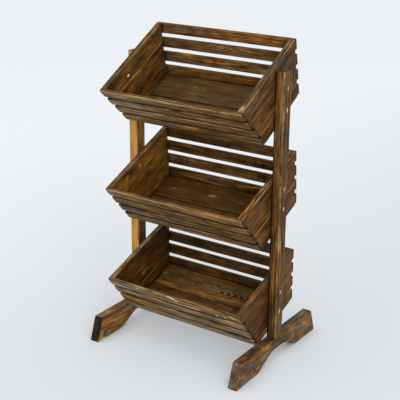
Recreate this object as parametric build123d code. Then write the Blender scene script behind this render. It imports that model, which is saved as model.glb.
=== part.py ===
from build123d import *
import math
import os

# A free-standing fruit rack: three slatted crates, tilted to the front, screwed between two posts
# that stand on sled feet. Millimetres, X along the crates, Y from front to back, Z up.
# The origin is on the floor, midway between the four foot pads.

# Feet: boards on edge, with raked ends and an arch under the middle
FOOT_LENGTH = 490  # on the floor, over both pads
FOOT_HEIGHT = 78
FOOT_THICKNESS = 32
FOOT_END_RAKE = 27  # how far each end leans out from top to bottom
FOOT_PAD_LENGTH = 124  # flat on the floor at each end
FOOT_EDGE_CHAMFER = 1
ARCH_RISE = 40
ARCH_TOP_LENGTH = 82  # level top of the arch, before its corners are rounded
ARCH_RADIUS = 100

# Posts: bars with rounded long edges, standing on the feet
POST_THICKNESS = 32  # along X
POST_DEPTH = 43  # along Y
POST_RISE = 78  # above the middle of the upper crate
POST_EDGE_RADIUS = 4
POST_TOP_CHAMFER = 1

# Crates, all three alike but for the seam in their ends
CRATE_LENGTH = 500  # over the outer faces of the ends
END_THICKNESS = 18
END_HEIGHT = 168
END_BOTTOM_DEPTH = 210
END_TOP_DEPTH = 325
END_EDGE_CHAMFER = 1
SLAT_COUNT = 4  # in the front and in the back
SLAT_WIDTH = 33
SLAT_THICKNESS = 10
SLAT_EDGE_CHAMFER = 1
FLOOR_THICKNESS = 8
FLOOR_SEAM = 1  # open joint between the two floor boards
FLOOR_EDGE_CHAMFER = 1

# Where each crate hangs: height and set-back of its middle, its tilt in degrees, the width of the
# lower board in its ends, and how far its pair of screws lies above its middle
LOWER_HEIGHT = 186
LOWER_SETBACK = 3
LOWER_TILT = 19.5
LOWER_SEAM = 52
LOWER_SCREWS = 12
MIDDLE_HEIGHT = 506
MIDDLE_SETBACK = 2
MIDDLE_TILT = 23.5
MIDDLE_SEAM = 72
MIDDLE_SCREWS = 29
UPPER_HEIGHT = 843
UPPER_SETBACK = -13
UPPER_TILT = 29.5
UPPER_SEAM = 113
UPPER_SCREWS = -3

# Fasteners: countersunk screws and fluted dowels, both with faceted bodies, and brads of square wire
FASTENER_SIDES = 12
SCREW_HEAD_ANGLE = 45  # between the head's cone and the screw's axis
SCREW_TIP_ANGLE = 18
CRATE_SCREW_LENGTH = 45
CRATE_SCREW_DIAMETER = 4
CRATE_SCREW_HEAD = 8
CRATE_SCREW_SPACING = 65
DOWEL_LENGTH = 50
DOWEL_DIAMETER = 8
DOWEL_SPACING = 20
BRAD_WIDTH = 1.2
BRAD_LENGTH = 30
SLAT_BRAD_SPACING = 16  # across the slat
FLOOR_BRAD_SPACING = 60  # across the floor board

# Sizes that follow from those above
POST_LENGTH = UPPER_HEIGHT + POST_RISE - FOOT_HEIGHT
POST_MIDDLE = (CRATE_LENGTH + POST_THICKNESS) / 2
POST_OUTER = CRATE_LENGTH / 2 + POST_THICKNESS
END_MIDDLE = (CRATE_LENGTH - END_THICKNESS) / 2
END_FLARE = (END_TOP_DEPTH - END_BOTTOM_DEPTH) / 2
END_LEAN = math.degrees(math.atan2(END_FLARE, END_HEIGHT))
END_SLANT = math.hypot(END_FLARE, END_HEIGHT)
SLAT_START = SLAT_THICKNESS * END_FLARE / END_HEIGHT
SLAT_PITCH = (END_SLANT - SLAT_START - SLAT_WIDTH) / (SLAT_COUNT - 1)
FLOOR_LENGTH = CRATE_LENGTH - 2 * END_THICKNESS
FLOOR_BOARD_DEPTH = (END_BOTTOM_DEPTH - FLOOR_SEAM) / 2
FLOOR_MIDDLE = (FLOOR_BOARD_DEPTH + FLOOR_SEAM) / 2

SIDES = {"left": -1, "right": 1}
CRATES = {
    "lower": (LOWER_HEIGHT, LOWER_SETBACK, LOWER_TILT, LOWER_SEAM, LOWER_SCREWS),
    "middle": (MIDDLE_HEIGHT, MIDDLE_SETBACK, MIDDLE_TILT, MIDDLE_SEAM, MIDDLE_SCREWS),
    "upper": (UPPER_HEIGHT, UPPER_SETBACK, UPPER_TILT, UPPER_SEAM, UPPER_SCREWS),
}


def screw(length, diameter, head):
    """A countersunk wood screw with its head on the XY plane, pointing down."""
    head_depth = (head - diameter) / 2 / math.tan(math.radians(SCREW_HEAD_ANGLE))
    tip_start = diameter - length
    wide = RegularPolygon(head / 2, FASTENER_SIDES, major_radius=False)
    narrow = RegularPolygon(diameter / 2, FASTENER_SIDES, major_radius=False)
    cone = extrude(wide, -head_depth, taper=SCREW_HEAD_ANGLE)
    shank = extrude(Pos(0, 0, -head_depth) * narrow, tip_start + head_depth)
    tip = extrude(Pos(0, 0, tip_start) * narrow, -diameter, taper=SCREW_TIP_ANGLE)
    return cone + shank + tip


def drilled(piece, fasteners):
    """The piece with a fitted hole for each fastener that reaches into it."""
    box = piece.bounding_box()
    entering = [fastener for fastener in fasteners if meets(box, fastener.bounding_box())]
    return piece - entering if entering else piece


def meets(box, other):
    gaps = [max(box.min - other.max), max(other.min - box.max)]
    return max(gaps) < 0


def foot_blank():
    """One foot over the origin, before it is drilled."""
    half = FOOT_LENGTH / 2
    mouth = half - FOOT_PAD_LENGTH
    arch = make_face(
        FilletPolyline(
            (-mouth, 0),
            (-ARCH_TOP_LENGTH / 2, ARCH_RISE),
            (ARCH_TOP_LENGTH / 2, ARCH_RISE),
            (mouth, 0),
            radius=ARCH_RADIUS,
        )
        + Line((mouth, 0), (-mouth, 0))
    )
    board = make_face(
        Polyline(
            (-half, 0),
            (half, 0),
            (half - FOOT_END_RAKE, FOOT_HEIGHT),
            (FOOT_END_RAKE - half, FOOT_HEIGHT),
            close=True,
        )
    )
    foot = extrude(Plane.YZ * (board - arch), FOOT_THICKNESS / 2, both=True)
    rims = foot.faces().filter_by(Axis.X).edges()
    return chamfer(rims, FOOT_EDGE_CHAMFER)


def post_blank():
    """One post, standing on its foot at X = 0, before it is drilled."""
    section = RectangleRounded(POST_THICKNESS, POST_DEPTH, POST_EDGE_RADIUS)
    post = extrude(Pos(0, 0, FOOT_HEIGHT) * section, POST_LENGTH)
    return chamfer(post.faces().sort_by(Axis.Z)[-1].edges(), POST_TOP_CHAMFER)


def end_board(bottom, top):
    """The stretch of a crate's end between two heights above its lower edge, centred on X = 0."""

    def reach(height):
        return END_BOTTOM_DEPTH / 2 + END_FLARE * height / END_HEIGHT

    outline = Polyline(
        (-reach(bottom), bottom),
        (reach(bottom), bottom),
        (reach(top), top),
        (-reach(top), top),
        close=True,
    )
    return extrude(Plane.YZ * make_face(outline), END_THICKNESS / 2, both=True)


def end_boards(seam):
    """The lower and upper board of a crate's end, eased along the open edges."""
    lower = end_board(0, seam)
    upper = end_board(seam, END_HEIGHT)
    lower_rim = lower.edges().filter_by(Axis.Y).group_by(Axis.Z)[0]
    upper_rim = upper.edges().filter_by(Axis.Y).group_by(Axis.Z)[-1]
    return {
        "lower": chamfer(lower_rim, END_EDGE_CHAMFER),
        "upper": chamfer(upper_rim, END_EDGE_CHAMFER),
    }


def front_slope(number):
    """A frame on the front edge of the ends, in the middle of a slat: Y up the slope, Z outwards."""
    along = END_SLANT - (number - 1) * SLAT_PITCH - SLAT_WIDTH / 2
    foot_of_slope = Location((0, -END_BOTTOM_DEPTH / 2, 0), (90 + END_LEAN, 0, 0))
    return foot_of_slope * Pos(0, along, 0)


def front_slat(number):
    """A front slat, number 1 at the top."""
    slat = Pos(0, 0, SLAT_THICKNESS / 2) * Box(CRATE_LENGTH, SLAT_WIDTH, SLAT_THICKNESS)
    return front_slope(number) * chamfer(slat.edges().filter_by(Axis.X), SLAT_EDGE_CHAMFER)


def front_slat_brads(number):
    """Two brads at each end of a front slat, driven flush."""
    brad = Pos(0, 0, SLAT_THICKNESS - BRAD_LENGTH / 2) * Box(BRAD_WIDTH, BRAD_WIDTH, BRAD_LENGTH)
    places = GridLocations(2 * END_MIDDLE, SLAT_BRAD_SPACING, 2, 2)
    return [front_slope(number) * place * brad for place in places]


def floor_board(side):
    """The front (-1) or rear (1) board of a crate's floor."""
    board = Box(FLOOR_LENGTH, FLOOR_BOARD_DEPTH, FLOOR_THICKNESS)
    upper_edges = board.edges().filter_by(Axis.X).group_by(Axis.Z)[-1]
    return Pos(0, side * FLOOR_MIDDLE, FLOOR_THICKNESS / 2) * chamfer(upper_edges, FLOOR_EDGE_CHAMFER)


def floor_board_brads(side):
    """Two brads through each crate end into the end of a floor board."""
    brad = Box(BRAD_LENGTH, BRAD_WIDTH, BRAD_WIDTH)
    middle = Pos(0, side * FLOOR_MIDDLE, FLOOR_THICKNESS / 2)
    places = GridLocations(CRATE_LENGTH - BRAD_LENGTH, FLOOR_BRAD_SPACING, 2, 2)
    return [middle * place * brad for place in places]


def crate_screws(height):
    """Two screws through each post, level with a crate: heads on the posts' outer faces."""
    one = screw(CRATE_SCREW_LENGTH, CRATE_SCREW_DIAMETER, CRATE_SCREW_HEAD)
    return [
        Location((sign * POST_OUTER, 0, height + step * CRATE_SCREW_SPACING / 2), (0, sign * 90, 0)) * one
        for sign in SIDES.values()
        for step in (-1, 1)
    ]


def foot_dowels():
    """Two dowels in each joint of foot and post, half of each in either piece."""
    section = RegularPolygon(DOWEL_DIAMETER / 2, FASTENER_SIDES, major_radius=False)
    one = extrude(section, DOWEL_LENGTH / 2, both=True)
    return [
        Pos(sign * POST_MIDDLE, step * DOWEL_SPACING / 2, FOOT_HEIGHT) * one
        for sign in SIDES.values()
        for step in (-1, 1)
    ]


def crate(seam):
    """One crate, standing level on its own floor: its boards and its brads."""
    boards = {}
    for name, board in end_boards(seam).items():
        for side, sign in SIDES.items():
            boards[f"{side}_end_{name}_board"] = Pos(sign * END_MIDDLE, 0, 0) * board
    brads = []
    for number in range(1, SLAT_COUNT + 1):
        boards[f"front_slat_{number}"] = front_slat(number)
        boards[f"back_slat_{number}"] = mirror(front_slat(number), Plane.XZ)
        for brad in front_slat_brads(number):
            brads += [brad, mirror(brad, Plane.XZ)]
    for name, side in {"front": -1, "rear": 1}.items():
        boards[f"floor_{name}_board"] = floor_board(side)
        brads += floor_board_brads(side)
    return {name: drilled(board, brads) for name, board in boards.items()}, brads


def rack():
    """Every piece of the rack in its place, by name."""
    pieces = {}
    fasteners = foot_dowels()
    pieces["foot_dowels"] = Compound(fasteners)
    for name, (height, setback, tilt, seam, screws) in CRATES.items():
        hung = Location((0, setback, height), (tilt, 0, 0)) * Pos(0, 0, -END_HEIGHT / 2)
        boards, brads = crate(seam)
        fixings = crate_screws(height + screws)
        for board_name, board in boards.items():
            pieces[f"{name}_crate_{board_name}"] = drilled(hung * board, fixings)
        pieces[f"{name}_crate_brads"] = Compound([hung * brad for brad in brads])
        pieces[f"{name}_crate_screws"] = Compound(fixings)
        fasteners = fasteners + fixings
    for side, sign in SIDES.items():
        under_post = Pos(sign * POST_MIDDLE, 0, 0)
        pieces[f"{side}_foot"] = drilled(under_post * foot_blank(), fasteners)
        pieces[f"{side}_post"] = drilled(under_post * post_blank(), fasteners)
    return pieces


os.makedirs("parts", exist_ok=True)
for node, piece in rack().items():
    export_step(piece, f"parts/{node}.step")
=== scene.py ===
"""A free-standing fruit rack of dark stained softwood: three tilted slatted crates between two posts."""

import math
import zlib
from dataclasses import dataclass, replace
from itertools import product

import bpy
import numpy as np
from mathutils import Matrix, Vector

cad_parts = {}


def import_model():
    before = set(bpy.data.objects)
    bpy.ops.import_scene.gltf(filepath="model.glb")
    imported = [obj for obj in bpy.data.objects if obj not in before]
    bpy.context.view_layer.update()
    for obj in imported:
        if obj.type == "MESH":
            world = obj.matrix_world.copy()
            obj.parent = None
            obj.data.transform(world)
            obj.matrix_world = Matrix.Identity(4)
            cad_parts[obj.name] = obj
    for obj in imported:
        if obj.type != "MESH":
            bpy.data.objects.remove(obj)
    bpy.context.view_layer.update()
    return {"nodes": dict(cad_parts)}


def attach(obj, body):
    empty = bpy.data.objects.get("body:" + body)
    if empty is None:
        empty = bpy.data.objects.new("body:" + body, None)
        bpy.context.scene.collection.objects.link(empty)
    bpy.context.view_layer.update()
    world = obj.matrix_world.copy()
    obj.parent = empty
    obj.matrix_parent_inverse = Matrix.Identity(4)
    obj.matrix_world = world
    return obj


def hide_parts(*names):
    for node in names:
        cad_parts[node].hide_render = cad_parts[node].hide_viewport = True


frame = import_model()

# Sizes of the rack in metres, as in its solids
FOOT_LENGTH = 0.490
FOOT_HEIGHT = 0.078
FOOT_THICKNESS = 0.032
FOOT_END_RAKE = 0.027
FOOT_PAD_LENGTH = 0.124
ARCH_RISE = 0.040
ARCH_TOP_LENGTH = 0.082
ARCH_RADIUS = 0.100
POST_THICKNESS = 0.032
POST_DEPTH = 0.043
POST_TOP = 0.921
CRATE_LENGTH = 0.500
END_THICKNESS = 0.018
END_HEIGHT = 0.168
END_BOTTOM_DEPTH = 0.210
END_TOP_DEPTH = 0.325
SLAT_COUNT = 4
SLAT_WIDTH = 0.033
SLAT_THICKNESS = 0.010
FLOOR_THICKNESS = 0.008
FLOOR_SEAM = 0.001
SCREW_LENGTH = 0.045
SCREW_DIAMETER = 0.004
SCREW_HEAD = 0.008
SCREW_SPACING = 0.065
BRAD_WIDTH = 0.0012
BRAD_LENGTH = 0.030
SLAT_BRAD_SPACING = 0.016
FLOOR_BRAD_SPACING = 0.060


@dataclass
class Crate:
    """Where a crate hangs: the height and set-back of its middle, and its tilt in degrees."""

    height: float
    setback: float
    tilt: float
    seam: float  # how high the seam in its ends lies above its bottom
    screws: float  # how far its pair of screws lies above its middle


CRATES = {
    "lower": Crate(0.186, 0.003, 19.5, seam=0.052, screws=0.012),
    "middle": Crate(0.506, 0.002, 23.5, seam=0.072, screws=0.029),
    "upper": Crate(0.843, -0.013, 29.5, seam=0.113, screws=-0.003),
}
SIDES = {"left": -1, "right": 1}

ARCH_MOUTH = FOOT_LENGTH / 2 - FOOT_PAD_LENGTH
POST_MIDDLE = (CRATE_LENGTH + POST_THICKNESS) / 2
POST_OUTER = CRATE_LENGTH / 2 + POST_THICKNESS
POST_MIDDLE_HEIGHT = (FOOT_HEIGHT + POST_TOP) / 2
END_MIDDLE = (CRATE_LENGTH - END_THICKNESS) / 2
END_FLARE = (END_TOP_DEPTH - END_BOTTOM_DEPTH) / 2
END_LEAN = math.atan2(END_FLARE, END_HEIGHT)
END_SLANT = math.hypot(END_FLARE, END_HEIGHT)
SLAT_START = SLAT_THICKNESS * END_FLARE / END_HEIGHT
SLAT_PITCH = (END_SLANT - SLAT_START - SLAT_WIDTH) / (SLAT_COUNT - 1)
FLOOR_LENGTH = CRATE_LENGTH - 2 * END_THICKNESS
FLOOR_BOARD_DEPTH = (END_BOTTOM_DEPTH - FLOOR_SEAM) / 2
FLOOR_MIDDLE = (FLOOR_BOARD_DEPTH + FLOOR_SEAM) / 2

# How far the boards' arrises are rounded and their saw cuts eased, and how finely they are meshed
END_RADIUS = 0.0012
SLAT_RADIUS = 0.0014
FLOOR_RADIUS = 0.0012
FOOT_RADIUS = 0.0018
POST_RADIUS = 0.004
CORNER_STEPS = 4
END_EASE = 0.0007
EASE_STEPS = 2
ALONG_STEP = 0.006
ACROSS_STEP = 0.0025
RIM_FINENESS = 3.0

# How the boards have aged: their bow, the waves on their faces, their abraded and chipped arrises, and the
# painted highlight and shade at arrises
BOW = 0.0006
FACE_WAVE = 0.0001
FACE_WAVELENGTHS = (0.08, 0.012, 0.012)
WEAR_DEPTH = 0.0006
ARRIS_REACH = 0.0018
ARRIS_REACH_PER_RADIUS = 0.7
ARRIS_WAVELENGTHS = (0.10, 0.2, 0.2)
CHIP_REACH = 0.006
CHIP_FADE = 0.015
CHIP_WAVELENGTHS = (0.02, 0.05, 0.05)
BARE_REACH = 0.003
BARE_SHARE = 0.45

# Where a board's pith may lie, across and through, its drift per metre, and how far its grain is shifted
PITH_ACROSS = 0.08
PITH_THROUGH = (0.02, 0.07)
PITH_DRIFT = 0.02
GRAIN_SHIFT = 50

# The finer shapes of the screws and brads
SCREW_SIDES = 24
SCREW_ANGLES = [2 * math.pi * side / SCREW_SIDES for side in range(SCREW_SIDES)]
SCREW_PITCH = 0.0018
SCREW_THREAD = 0.0006
THREAD_FLANK = 0.3  # of the pitch
SCREW_RIM = 0.0002
SCREW_POINT = 2 * SCREW_DIAMETER
SCREW_TIP = 0.05  # of the shank's radius
HEAD_RINGS = 12
SHANK_ROWS = 110
RECESS_WIDTH = 0.0010
RECESS_FLANK = 0.0004
RECESS_REACH = 0.0026
RECESS_DEPTH = 0.0016
RECESS_END_DEPTH = 0.3  # of its depth
RECESS_END_SLOPE = 3
BRAD_HEAD = 0.0020
BRAD_PROUD = 0.00015
BRAD_POINT_TAPER = 5
SHARP_ANGLE = 35

# The camera, in metres and degrees, and its focal length in pixels of a 400 pixel frame
CAMERA_PLACE = (1.5699, -2.3595, 1.4960)
CAMERA_YAW = 33.956
CAMERA_PITCH = -19.834
CAMERA_ROLL = 0.436
CAMERA_FOCAL = 955.0
FRAME_PIXELS = 400
SENSOR = 36.0

# The soft lamps, with their place, size and power, and where they point
LAMPS = {"overhead": ((0.4, -0.6, 3.2), 2.6, 26), "fill": ((2.4, -1.8, 1.9), 1.6, 40)}
LAMP_TARGET = (0, 0, 0.4)
BACKDROP_REACH = 40.0


@dataclass
class Board:
    """A sawn board: its place (along, across, through to the rack), its size and its arrises' radius."""

    place: Matrix
    length: float
    width: float
    thickness: float
    radius: float
    rake: float = 0.0  # how much further each end reaches, per metre across
    fineness: float = 1.0  # how many times more finely it is meshed than the others
    lift: object = None  # how far the lower edge rises at a place along the board


# The long sides of a board: EDGE where across points, FACE where through points, the far ones opposite
EDGE, FACE, FAR_EDGE, FAR_FACE = range(4)
SIDE_NORMALS = np.array([(1, 0), (0, 1), (-1, 0), (0, -1)])
ARRISES = ((1, 1), (-1, 1), (-1, -1), (1, -1))
SIDE_SHARPNESS = 4  # how sharply the look of one side gives way to the next
DARKEST_MARK = 0.05  # the least share of its shade that marks leave a board


@dataclass
class Mark:
    """A soft patch on one long side of a board, where the wood is lighter or darker, greyer or warmer; some
    are painted shade.
    """

    side: int
    along: float
    aside: float  # its place on that side, square to along
    length: float  # how far it reaches either way along the board
    width: float
    light: float = 0.0
    grey: float = 0.0
    warm: float = 0.0
    chip: float = 0.0  # how far the stain is knocked off
    slant: float = 0.0  # how far it climbs aside, per metre along


@dataclass
class Look:
    """How one board differs from the next, with sides and arrises by the board's own axes."""

    shade: float = 1.0  # how much light the stain gives back, against the others
    edge_shade: float = 1.0  # the same for its EDGE alone, partly painted light and shade for how light falls there
    face_shade: float = 1.0  # the same for its FACE alone, partly painted light and shade for how light falls there
    bare: tuple = (0.0, 0.0, 0.0, 0.0)  # how thin the stain is on EDGE, FACE, FAR_EDGE and FAR_FACE
    grey: float = 0.15  # how far it is weathered to grey
    warm: float = 0.0  # orange above 0, olive below
    figure: float = 1.0  # how much the tone varies along the grain
    mottle: float = 0.75  # how blotchy the stain is
    lines: float = 0.4  # strength of the golden late wood
    ring: float = 0.0035  # width of a growth ring
    heart: tuple = None  # where the pith lies, across and through
    drift: tuple = None  # how far the pith wanders across and through, per metre
    drift_from: float = -1.0  # the place along where it starts to wander
    knots: tuple = ()  # place along, place across, size, kind
    worn: tuple = (0.5, 0.4, 0.3, 0.4)  # how abraded the arrises are, as in ARRISES, partly a painted highlight; below 0 they get painted shade instead
    reach: tuple = (1.0, 1.0, 1.0, 1.0)  # how far the abrasion, painted highlight and painted shade of each arris spread
    cut: float = 0.55  # how light the saw cuts are
    cut_grey: float = 0.0  # how grey they are
    chipped: tuple = ()  # rough stretches of the first arris: from, to, depth
    marks: tuple = ()


GOLDEN, ROUND_GOLDEN, DARK, PALE = 0.0, 0.2, 1.0, -1.0

KINDS = {
    "front_slat": Look(
        shade=1.3, grey=0.35, warm=-0.3, figure=1.1, mottle=0.5, lines=0.7,
        worn=(1.1, -0.5, -0.9, -0.9), reach=(0.8, 1.0, 1.0, 4.0),
    ),
    "back_slat": Look(
        shade=1.2, edge_shade=0.6, grey=0.2, warm=0.25, figure=0.8, lines=0.6,
        worn=(0.3, 0.3, 0.0, 0.0),
    ),
    "floor": Look(shade=1.05, grey=0.1, figure=0.55, mottle=0.45, lines=0.25, worn=(-0.6, -0.6, 0.0, 0.0)),
    "left_end": Look(
        shade=0.95, edge_shade=1.5, grey=0.0, warm=0.3, figure=0.7, mottle=1.0, lines=0.3,
        worn=(0.2, 0.0, 0.2, 0.6),
    ),
    "right_end_lower": Look(
        shade=0.72, grey=0.05, warm=0.3, mottle=0.8, lines=0.5, worn=(0.0, 0.1, 0.0, 0.2)
    ),
    "right_end_upper": Look(
        shade=0.72, edge_shade=1.5, grey=0.05, warm=0.25, figure=0.9, mottle=0.8, lines=0.4,
        worn=(0.9, 0.1, 0.0, 0.2), reach=(0.7, 1.0, 1.0, 1.0),
    ),
    "post": Look(shade=1.1, grey=0.1, warm=0.15, lines=0.5, worn=(0.4, 0.4, 0.4, 0.6)),
    "foot": Look(
        shade=1.6, grey=0.3, warm=0.1, figure=1.1, mottle=1.0, lines=0.35, worn=(0.5, 0.6, 0.3, 0.5)
    ),
}

# What several boards share, by a part of their names
SHARED = {
    "upper_crate_floor": dict(shade=0.91, grey=0.2, warm=-0.7),
    "upper_crate_right_end": dict(shade=0.67),
    "middle_crate_front_slat": dict(shade=1.4, grey=0.3, warm=-0.1),
    "middle_crate_floor": dict(warm=0.3),
    "middle_crate_left_end": dict(shade=1.25),
    "middle_crate_right_end": dict(warm=0.5),
    "lower_crate_front_slat": dict(
        shade=2.35, grey=0.5, warm=-0.6, figure=1.2, lines=0.35, worn=(0.75, -0.5, -0.9, -0.9)
    ),
    "lower_crate_back_slat": dict(shade=0.85, warm=0.4),
    "lower_crate_left_end": dict(shade=0.62, warm=0.6, figure=1.0),
    "front_slat_1": dict(edge_shade=0.7, worn=(1.1, -0.5, -0.9, 0.2)),
}

CHIPPED_RIM = "lower_crate_front_slat_1"
OWN = {}


def own(node, *marks, **changes):
    """Notes what is a board's own: its marks, and what else differs in its look."""
    OWN[node] = dict(changes, marks=marks)


own(
    "left_post",
    # Painted shadow on the post's inner side between the lower and middle crates, where the crate above
    # shades it
    Mark(EDGE, -0.205, 0.0, 0.055, 0.05, light=-0.78),
    shade=2.0, edge_shade=1.02, bare=(0.0, 0.0, 0.3, 1.0),
)
own(
    "right_post",
    Mark(EDGE, 0.1, -0.01, 0.5, 0.003, light=0.4, grey=0.3),
    Mark(EDGE, -0.2, 0.006, 0.3, 0.003, light=0.4, grey=0.3),
    Mark(FAR_FACE, 0.3, 0.012, 0.3, 0.004, light=0.5),
    Mark(FAR_FACE, -0.2, 0.0, 0.25, 0.012, light=-0.1, warm=0.7),
    Mark(FAR_FACE, 0.38, 0.004, 0.05, 0.01, light=0.35),
    Mark(FAR_FACE, -0.104, 0.009, 0.01, 0.006, light=0.7),
    Mark(EDGE, -0.109, -0.013, 0.014, 0.008, light=0.6, warm=0.3),
    Mark(EDGE, -0.055, 0.0, 0.04, 0.02, light=-0.35, grey=0.2),
    Mark(EDGE, -0.17, 0.0, 0.05, 0.02, light=0.25),
    Mark(EDGE, 0.405, 0.0, 0.04, 0.03, light=1.0),
    Mark(EDGE, -0.37, 0.0, 0.07, 0.03, light=0.45),
    Mark(EDGE, 0.0, -0.02, 0.5, 0.005, grey=0.5),
    Mark(FAR_FACE, 0.0, 0.015, 0.5, 0.005, grey=0.5),
    shade=1.05, edge_shade=0.84, warm=-0.2, mottle=0.5, lines=0.3, ring=0.006,
    heart=(0.1, -0.02), worn=(0.3, -1.0, -1.0, 0.6), reach=(1.0, 1.3, 1.3, 1.4), cut=0.6, cut_grey=0.6,
)
own(
    "left_foot",
    Mark(FACE, -0.15, 0.019, 0.08, 0.005, light=0.7, slant=0.05),
    Mark(FACE, -0.15, 0.008, 0.06, 0.005, light=-0.2, warm=-0.5, slant=0.05),
    Mark(FACE, -0.13, 0.031, 0.06, 0.006, light=-0.35, slant=0.05),
    Mark(FACE, -0.2315, 0.0, 0.016, 0.006, light=0.6, grey=0.4, slant=-2.89),
    Mark(FACE, -0.1, 0.0, 0.04, 0.03, light=-0.3),
    Mark(EDGE, -0.18, 0.0, 0.2, 0.02, warm=-0.3),
    shade=2.02, edge_shade=0.86, cut=0.23,
    knots=((-0.206, -0.015, 0.007, DARK), (-0.191, -0.008, 0.004, DARK), (-0.214, -0.026, 0.004, DARK)),
)
own(
    "right_foot",
    Mark(FACE, -0.19, 0.012, 0.03, 0.018, light=-0.45, grey=0.2),
    Mark(FACE, -0.1, 0.022, 0.05, 0.012, light=0.15, grey=0.2, warm=-0.3, slant=0.25),
    Mark(FACE, -0.19, -0.034, 0.05, 0.006, light=0.5, warm=0.3),
    Mark(FACE, -0.156, -0.012, 0.008, 0.006, light=0.6),
    Mark(FACE, -0.142, -0.017, 0.006, 0.006, light=-0.5),
    Mark(FACE, 0.06, 0.01, 0.04, 0.012, light=-0.25),
    Mark(FACE, 0.15, 0.0, 0.07, 0.04, light=0.4, grey=-0.1, warm=0.4),
    Mark(EDGE, 0.0, 0.0, 0.5, 0.03, grey=0.75, warm=-0.4),
    Mark(EDGE, -0.17, 0.0, 0.05, 0.012, light=0.4, grey=-0.3, warm=0.6),
    Mark(EDGE, -0.05, 0.0, 0.06, 0.02, light=-0.4),
    shade=1.23, edge_shade=0.78, warm=-0.1, figure=0.65, mottle=1.2, lines=0.15,
    cut=1.3, cut_grey=0.2, ring=0.006, knots=((-0.142, -0.017, 0.006, DARK),),
)
own(
    "upper_crate_floor_rear_board",
    Mark(FACE, -0.17, -0.01, 0.04, 0.02, warm=1.0),
    knots=((-0.092, 0.0115, 0.003, GOLDEN), (-0.06, 0.008, 0.003, GOLDEN)),
)
own(
    "upper_crate_back_slat_1",
    Mark(FAR_FACE, 0.12, 0.006, 0.1, 0.012, light=-0.15, grey=0.4),
    Mark(FAR_FACE, -0.1, -0.006, 0.12, 0.01, light=0.15, warm=0.4),
    shade=1.35, grey=0.0,
)
own(
    "upper_crate_back_slat_2",
    Mark(FAR_FACE, 0.04, 0.006, 0.025, 0.01, grey=0.7),
    Mark(FAR_FACE, -0.02, 0.002, 0.02, 0.01, light=0.3, warm=0.8),
    shade=1.13, lines=0.4, knots=((0.012, 0.008, 0.006, GOLDEN),),
)
own("upper_crate_back_slat_3", shade=1.6, figure=0.6, lines=0.3, mottle=1.1)
own("upper_crate_back_slat_4", shade=1.4, grey=0.1)
own(
    "upper_crate_left_end_upper_board",
    Mark(FACE, -0.054, -0.01, 0.016, 0.012, light=-0.6),
    Mark(FACE, -0.135, 0.006, 0.03, 0.018, light=-0.5, grey=0.4),
    Mark(FACE, 0.05, -0.018, 0.05, 0.007, light=0.4),
    worn=(0.2, 0.65, 0.2, 0.6), warm=0.0, knots=((-0.054, -0.01, 0.005, PALE),),
)
own(
    "upper_crate_left_end_lower_board",
    Mark(FACE, -0.05, 0.055, 0.08, 0.004, light=1.0, warm=-0.3),
    Mark(FACE, 0.115, 0.0, 0.03, 0.1, light=-0.3),
    worn=(0.7, 0.0, 0.2, 0.6),
)
own(
    "upper_crate_right_end_upper_board",
    Mark(EDGE, -0.155, 0.0, 0.015, 0.02, light=1.6, grey=0.9),
    Mark(FACE, -0.05, -0.01, 0.04, 0.012, light=0.3, warm=0.5),
    Mark(FACE, -0.12, 0.0, 0.025, 0.012, light=-0.1, grey=0.5),
    grey=0.15, lines=0.15, mottle=1.0,
)
own("upper_crate_right_end_lower_board", warm=0.6, ring=0.0025, heart=(0.2, 0.0), lines=0.6)
own(
    "middle_crate_floor_rear_board",
    Mark(FACE, -0.1765, -0.003, 0.01, 0.004, light=1.2),
    Mark(FACE, -0.027, 0.002, 0.02, 0.006, light=0.9, warm=0.5),
    knots=((-0.1765, -0.003, 0.003, GOLDEN), (-0.027, 0.002, 0.0055, GOLDEN)),
)
own("middle_crate_floor_front_board", Mark(FACE, 0.13, -0.01, 0.05, 0.04, light=-0.4))
own("middle_crate_back_slat_1", shade=1.0)
own(
    "middle_crate_back_slat_2",
    Mark(FAR_FACE, 0.15, -0.006, 0.008, 0.01, light=-0.2, warm=0.6),
    Mark(FAR_FACE, -0.12, 0.004, 0.008, 0.008, light=0.25, warm=0.8),
    Mark(FAR_FACE, -0.109, 0.002, 0.0045, 0.012, light=-0.9),
    Mark(FAR_FACE, -0.122, -0.012, 0.014, 0.004, light=-0.7),
    Mark(FAR_FACE, -0.137, -0.004, 0.006, 0.01, light=-0.9),
    grey=0.05, warm=0.1,
)
own(
    "middle_crate_back_slat_3",
    Mark(FAR_FACE, 0.218, 0.007, 0.012, 0.02, grey=0.8),
    Mark(FAR_FACE, 0.166, 0.0, 0.005, 0.02, grey=0.5),
    Mark(FAR_FACE, 0.155, 0.0, 0.004, 0.02, light=-0.3, warm=0.5),
    Mark(FAR_FACE, 0.144, 0.0, 0.005, 0.02, grey=0.5),
    Mark(FAR_FACE, -0.119, 0.0, 0.0045, 0.014, light=-0.9),
    Mark(FAR_FACE, -0.127, -0.01, 0.004, 0.004, light=0.9, grey=0.2),
    Mark(FAR_FACE, -0.139, 0.002, 0.008, 0.012, light=-0.9),
    grey=0.1, warm=0.1,
)
own(
    "middle_crate_left_end_upper_board",
    knots=((-0.084, 0.026, 0.005, GOLDEN), (-0.012, 0.021, 0.003, PALE)),
)
own("middle_crate_right_end_lower_board", worn=(1.2, 0.1, 0.0, 0.2))
own("middle_crate_right_end_upper_board", grey=0.0)
own(
    "lower_crate_floor_rear_board",
    Mark(FACE, -0.06, -0.034, 0.22, 0.01, light=0.7, grey=-0.3, warm=1.5, slant=0.02),
    shade=1.38, grey=0.3, warm=-0.5, lines=0.75, ring=0.0024, figure=0.8, mottle=0.6,
    heart=(-0.004, -0.025), drift=(0.0, -0.096), drift_from=0.01,
    knots=(
        (-0.005, 0.008, 0.004, GOLDEN),
        (-0.096, -0.003, 0.003, GOLDEN),
        (-0.219, 0.01, 0.005, GOLDEN),
    ),
)
own("lower_crate_floor_front_board", shade=1.28, warm=0.2, figure=0.8, mottle=0.8)
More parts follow.
